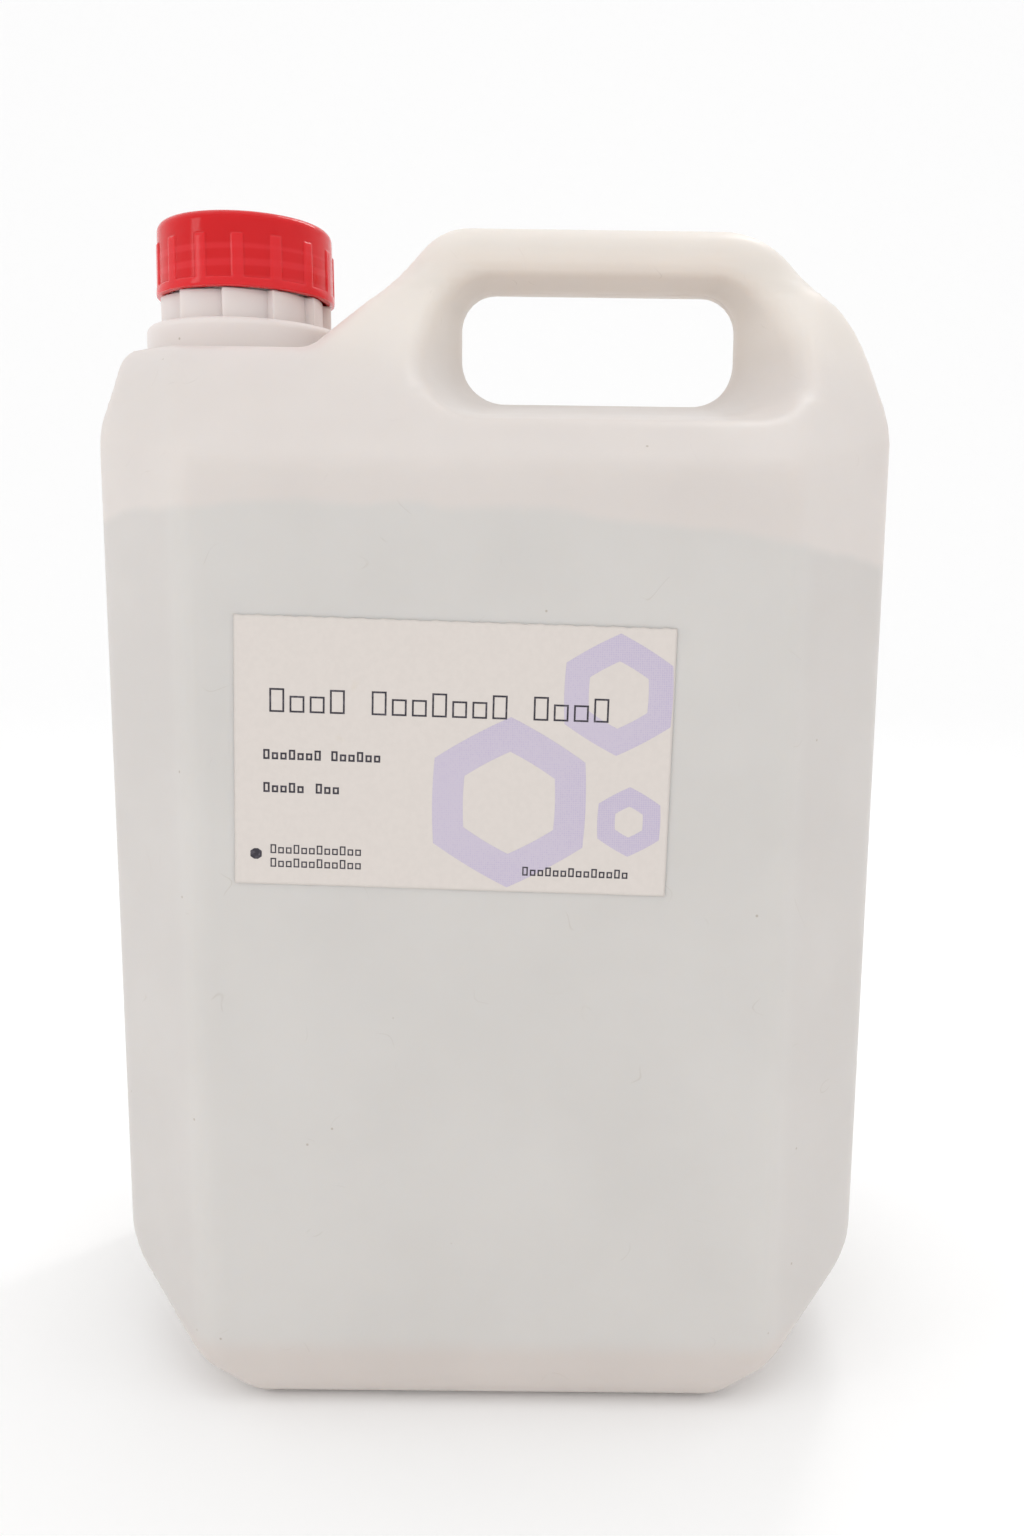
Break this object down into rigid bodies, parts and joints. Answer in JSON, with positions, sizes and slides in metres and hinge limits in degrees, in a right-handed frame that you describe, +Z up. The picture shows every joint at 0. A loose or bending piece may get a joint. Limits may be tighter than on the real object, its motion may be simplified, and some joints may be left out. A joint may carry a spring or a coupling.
{
  "type": "jerrycan",
  "caption": "Translucent blow-moulded solvent can with a moulded-through handle, an off-centre threaded neck and a ribbed screw cap that unscrews, with a plain paper label and a liquid fill.",
  "frame": {"origin": "centre of the base, on the surface that the can stands on", "axes": "+X along the can's width, from the neck towards the far end of the handle; -Y towards the labelled front; +Z up"},
  "size_m": [0.19, 0.1285, 0.291],
  "materials": {
    "natural_hdpe": "satin",
    "red_polypropylene": "gloss",
    "polyethylene_foam": "matte",
    "coated_paper": "matte",
    "ethanol": "polished"
  },
  "bodies": {
    "canister": {"canister_body": "natural_hdpe", "label": "coated_paper", "ethanol_fill": "ethanol"},
    "liner": {"cap_liner": "polyethylene_foam"},
    "cap": {"screw_cap": "red_polypropylene"}
  },
  "joints": [
    {"name": "cap_rise", "type": "slide", "parent": "canister", "child": "liner", "axis": [0, 0, 1], "range_m": [0, 0.0121]},
    {"name": "cap_turn", "type": "hinge", "parent": "liner", "child": "cap", "pos_m": [-0.0668, 0, 0.28], "axis": [0, 0, 1], "range_deg": [0, 1080]}
  ],
  "couplings": [
    {"joint": "cap_rise", "follows": "cap_turn", "m_per_rad": 0.00063662}
  ]
}
